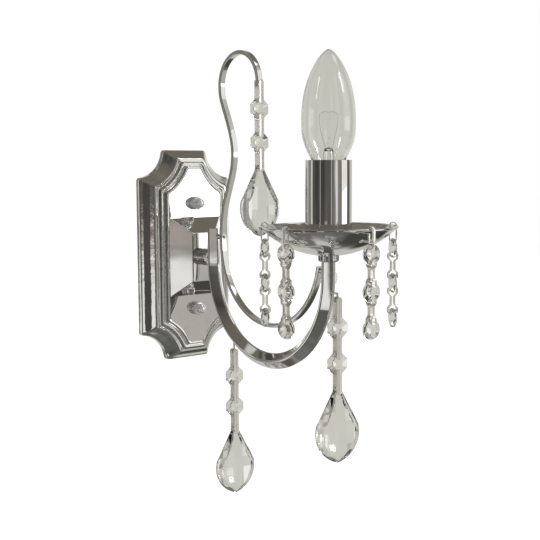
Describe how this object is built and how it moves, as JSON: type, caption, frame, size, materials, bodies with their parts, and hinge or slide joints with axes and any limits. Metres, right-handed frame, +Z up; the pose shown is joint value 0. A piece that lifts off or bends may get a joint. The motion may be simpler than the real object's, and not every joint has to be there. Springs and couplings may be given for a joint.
{
  "type": "crystal wall sconce",
  "caption": "Single-arm chrome wall light: scalloped back plate, U arm with a scrolled bar, drip pan, candle tube, clear candle lamp and hanging faceted crystals.",
  "frame": {"origin": "centre of the back plate on the wall plane", "axes": "+Z up, +Y into the wall, +X to the right when one faces the wall"},
  "size_m": [0.0924, 0.2192, 0.3246],
  "materials": {
    "plate_chrome": "polished, slight ripple on the pressed moulding",
    "fitting_chrome": "polished, knurled",
    "arm_chrome": "polished",
    "bar_chrome": "polished",
    "pan_chrome": "polished",
    "sleeve_chrome": "polished",
    "clip_metal": "bright wire",
    "plain_steel": "zinc plated",
    "crystal": "cut and polished lead-free crystal",
    "bulb_clear": "clear blown glass",
    "stem_clear": "clear pressed glass",
    "cap_metal": "rolled thread",
    "brass": "plain",
    "filament": "drawn wire",
    "holder_plastic": "moulded, heat resistant",
    "terminal_plastic": "moulded",
    "wire_insulation": "smooth"
  },
  "bodies": {
    "sconce": {"backplate": "plate_chrome", "wall_bracket": "plain_steel", "bracket_studs": "plain_steel", "cap_nuts": "fitting_chrome", "terminal_block": "terminal_plastic", "arm_nipple": "plain_steel", "arm_lock_nut": "plain_steel", "arm_spacer": "fitting_chrome", "main_arm": "arm_chrome", "arm_end_cap": "arm_chrome", "scroll_bar": "bar_chrome", "scroll_rivets": "bar_chrome", "pendant_eyes": "clip_metal", "lamp_wires": "wire_insulation", "drip_pan": "pan_chrome", "pan_collar": "fitting_chrome", "pan_nipple": "plain_steel", "pan_lock_nut": "plain_steel", "candle_sleeve": "sleeve_chrome", "lampholder_body": "holder_plastic", "lampholder_shell": "brass", "lampholder_contact": "brass"},
    "bulb": {"bulb_glass": "bulb_clear", "bulb_cap": "cap_metal", "bulb_tip": "brass", "bulb_stem": "stem_clear", "bulb_filament": "filament"},
    "hook_clip_1": {"hook_clip_1": "clip_metal"},
    "hook_octagon_1": {"hook_octagon_1": "crystal"},
    "hook_clip_2": {"hook_clip_2": "clip_metal"},
    "hook_octagon_2": {"hook_octagon_2": "crystal"},
    "hook_clip_3": {"hook_clip_3": "clip_metal"},
    "hook_drop": {"hook_drop": "crystal"},
    "rear_clip_1": {"rear_clip_1": "clip_metal"},
    "rear_octagon_1": {"rear_octagon_1": "crystal"},
    "rear_clip_2": {"rear_clip_2": "clip_metal"},
    "rear_octagon_2": {"rear_octagon_2": "crystal"},
    "rear_clip_3": {"rear_clip_3": "clip_metal"},
    "rear_drop": {"rear_drop": "crystal"},
    "front_clip_1": {"front_clip_1": "clip_metal"},
    "front_octagon_1": {"front_octagon_1": "crystal"},
    "front_clip_2": {"front_clip_2": "clip_metal"},
    "front_octagon_2": {"front_octagon_2": "crystal"},
    "front_clip_3": {"front_clip_3": "clip_metal"},
    "front_drop": {"front_drop": "crystal"},
    "strand_1_link_1": {"strand_1_link_1": "crystal"},
    "strand_1_link_2": {"strand_1_link_2": "crystal"},
    "strand_1_link_3": {"strand_1_link_3": "crystal"},
    "strand_2_link_1": {"strand_2_link_1": "crystal"},
    "strand_2_link_2": {"strand_2_link_2": "crystal"},
    "strand_2_link_3": {"strand_2_link_3": "crystal"},
    "strand_3_link_1": {"strand_3_link_1": "crystal"},
    "strand_3_link_2": {"strand_3_link_2": "crystal"},
    "strand_3_link_3": {"strand_3_link_3": "crystal"},
    "strand_4_link_1": {"strand_4_link_1": "crystal"},
    "strand_4_link_2": {"strand_4_link_2": "crystal"},
    "strand_4_link_3": {"strand_4_link_3": "crystal"},
    "strand_5_link_1": {"strand_5_link_1": "crystal"},
    "strand_5_link_2": {"strand_5_link_2": "crystal"},
    "strand_5_link_3": {"strand_5_link_3": "crystal"}
  },
  "joints": [
    {"name": "bulb_lift", "type": "slide", "parent": "sconce", "child": "bulb", "axis": [0, 0, 1], "range_m": [0, 0.034]},
    {"name": "hook_clip_1_swing", "type": "hinge", "parent": "sconce", "child": "hook_clip_1", "pos_m": [0, -0.0987, 0.1262], "axis": [-0.1219, -0.9925, 0], "range_deg": [-25, 18]},
    {"name": "hook_octagon_1_swing", "type": "hinge", "parent": "hook_clip_1", "child": "hook_octagon_1", "pos_m": [0, -0.0987, 0.1128], "axis": [-0.1219, -0.9925, 0], "range_deg": [-8, 8]},
    {"name": "hook_clip_2_swing", "type": "hinge", "parent": "hook_octagon_1", "child": "hook_clip_2", "pos_m": [0, -0.0987, 0.103], "axis": [-0.1219, -0.9925, 0], "range_deg": [-8, 8]},
    {"name": "hook_octagon_2_swing", "type": "hinge", "parent": "hook_clip_2", "child": "hook_octagon_2", "pos_m": [0, -0.0987, 0.0896], "axis": [-0.1219, -0.9925, 0], "range_deg": [-8, 8]},
    {"name": "hook_clip_3_swing", "type": "hinge", "parent": "hook_octagon_2", "child": "hook_clip_3", "pos_m": [0, -0.0987, 0.0798], "axis": [-0.1219, -0.9925, 0], "range_deg": [-8, 8]},
    {"name": "hook_drop_swing", "type": "hinge", "parent": "hook_clip_3", "child": "hook_drop", "pos_m": [0, -0.0987, 0.0664], "axis": [-0.1219, -0.9925, 0], "range_deg": [-8, 8]},
    {"name": "rear_clip_1_swing", "type": "hinge", "parent": "sconce", "child": "rear_clip_1", "pos_m": [0, -0.0664, -0.0675], "axis": [-0.1736, -0.9848, 0], "range_deg": [-15, 25]},
    {"name": "rear_octagon_1_swing", "type": "hinge", "parent": "rear_clip_1", "child": "rear_octagon_1", "pos_m": [0, -0.0664, -0.0809], "axis": [-0.1736, -0.9848, 0], "range_deg": [-8, 8]},
    {"name": "rear_clip_2_swing", "type": "hinge", "parent": "rear_octagon_1", "child": "rear_clip_2", "pos_m": [0, -0.0664, -0.0907], "axis": [-0.1736, -0.9848, 0], "range_deg": [-8, 8]},
    {"name": "rear_octagon_2_swing", "type": "hinge", "parent": "rear_clip_2", "child": "rear_octagon_2", "pos_m": [0, -0.0664, -0.1041], "axis": [-0.1736, -0.9848, 0], "range_deg": [-8, 8]},
    {"name": "rear_clip_3_swing", "type": "hinge", "parent": "rear_octagon_2", "child": "rear_clip_3", "pos_m": [0, -0.0664, -0.1139], "axis": [-0.1736, -0.9848, 0], "range_deg": [-8, 8]},
    {"name": "rear_drop_swing", "type": "hinge", "parent": "rear_clip_3", "child": "rear_drop", "pos_m": [0, -0.0664, -0.1273], "axis": [-0.1736, -0.9848, 0], "range_deg": [-8, 8]},
    {"name": "front_clip_1_swing", "type": "hinge", "parent": "sconce", "child": "front_clip_1", "pos_m": [-0.0015, -0.1818, -0.0176], "axis": [-0.2756, -0.9613, 0], "range_deg": [-20, 25]},
    {"name": "front_octagon_1_swing", "type": "hinge", "parent": "front_clip_1", "child": "front_octagon_1", "pos_m": [-0.0015, -0.1818, -0.031], "axis": [-0.2756, -0.9613, 0], "range_deg": [-8, 8]},
    {"name": "front_clip_2_swing", "type": "hinge", "parent": "front_octagon_1", "child": "front_clip_2", "pos_m": [-0.0015, -0.1818, -0.0408], "axis": [-0.2756, -0.9613, 0], "range_deg": [-8, 8]},
    {"name": "front_octagon_2_swing", "type": "hinge", "parent": "front_clip_2", "child": "front_octagon_2", "pos_m": [-0.0015, -0.1818, -0.0542], "axis": [-0.2756, -0.9613, 0], "range_deg": [-8, 8]},
    {"name": "front_clip_3_swing", "type": "hinge", "parent": "front_octagon_2", "child": "front_clip_3", "pos_m": [-0.0015, -0.1818, -0.064], "axis": [-0.2756, -0.9613, 0], "range_deg": [-8, 8]},
    {"name": "front_drop_swing", "type": "hinge", "parent": "front_clip_3", "child": "front_drop", "pos_m": [-0.0015, -0.1818, -0.0774], "axis": [-0.2756, -0.9613, 0], "range_deg": [-8, 8]},
    {"name": "strand_1_link_1_swing", "type": "hinge", "parent": "sconce", "child": "strand_1_link_1", "pos_m": [-0.00426, -0.21574, 0.0286], "axis": [-0.9954, 0.0958, 0], "range_deg": [-8, 25]},
    {"name": "strand_1_link_2_swing", "type": "hinge", "parent": "strand_1_link_1", "child": "strand_1_link_2", "pos_m": [-0.00426, -0.21574, 0.0091], "axis": [-0.0958, -0.9954, 0], "range_deg": [-12, 12]},
    {"name": "strand_1_link_3_swing", "type": "hinge", "parent": "strand_1_link_2", "child": "strand_1_link_3", "pos_m": [-0.00426, -0.21574, -0.0141], "axis": [-0.0958, -0.9954, 0], "range_deg": [-12, 12]},
    {"name": "strand_2_link_1_swing", "type": "hinge", "parent": "sconce", "child": "strand_2_link_1", "pos_m": [-0.0434, -0.18112, 0.0286], "axis": [-0.2164, 0.9763, 0], "range_deg": [-8, 25]},
    {"name": "strand_2_link_2_swing", "type": "hinge", "parent": "strand_2_link_1", "child": "strand_2_link_2", "pos_m": [-0.0434, -0.18112, 0.0091], "axis": [-0.9763, -0.2164, 0], "range_deg": [-12, 12]},
    {"name": "strand_2_link_3_swing", "type": "hinge", "parent": "strand_2_link_2", "child": "strand_2_link_3", "pos_m": [-0.0434, -0.18112, -0.0141], "axis": [-0.9763, -0.2164, 0], "range_deg": [-12, 12]},
    {"name": "strand_3_link_1_swing", "type": "hinge", "parent": "sconce", "child": "strand_3_link_1", "pos_m": [-0.02256, -0.1332, 0.0286], "axis": [0.8616, 0.5075, 0], "range_deg": [-8, 25]},
    {"name": "strand_3_link_2_swing", "type": "hinge", "parent": "strand_3_link_1", "child": "strand_3_link_2", "pos_m": [-0.02256, -0.1332, 0.0091], "axis": [-0.5075, 0.8616, 0], "range_deg": [-12, 12]},
    {"name": "strand_3_link_3_swing", "type": "hinge", "parent": "strand_3_link_2", "child": "strand_3_link_3", "pos_m": [-0.02256, -0.1332, -0.0141], "axis": [-0.5075, 0.8616, 0], "range_deg": [-12, 12]},
    {"name": "strand_4_link_1_swing", "type": "hinge", "parent": "sconce", "child": "strand_4_link_1", "pos_m": [0.02945, -0.13821, 0.0286], "axis": [0.749, -0.6626, 0], "range_deg": [-8, 25]},
    {"name": "strand_4_link_2_swing", "type": "hinge", "parent": "strand_4_link_1", "child": "strand_4_link_2", "pos_m": [0.02945, -0.13821, 0.0091], "axis": [0.6626, 0.749, 0], "range_deg": [-12, 12]},
    {"name": "strand_4_link_3_swing", "type": "hinge", "parent": "strand_4_link_2", "child": "strand_4_link_3", "pos_m": [0.02945, -0.13821, -0.0141], "axis": [0.6626, 0.749, 0], "range_deg": [-12, 12]},
    {"name": "strand_5_link_1_swing", "type": "hinge", "parent": "sconce", "child": "strand_5_link_1", "pos_m": [0.04076, -0.18922, 0.0286], "axis": [-0.3987, -0.9171, 0], "range_deg": [-8, 25]},
    {"name": "strand_5_link_2_swing", "type": "hinge", "parent": "strand_5_link_1", "child": "strand_5_link_2", "pos_m": [0.04076, -0.18922, 0.0091], "axis": [0.9171, -0.3987, 0], "range_deg": [-12, 12]},
    {"name": "strand_5_link_3_swing", "type": "hinge", "parent": "strand_5_link_2", "child": "strand_5_link_3", "pos_m": [0.04076, -0.18922, -0.0141], "axis": [0.9171, -0.3987, 0], "range_deg": [-12, 12]}
  ]
}
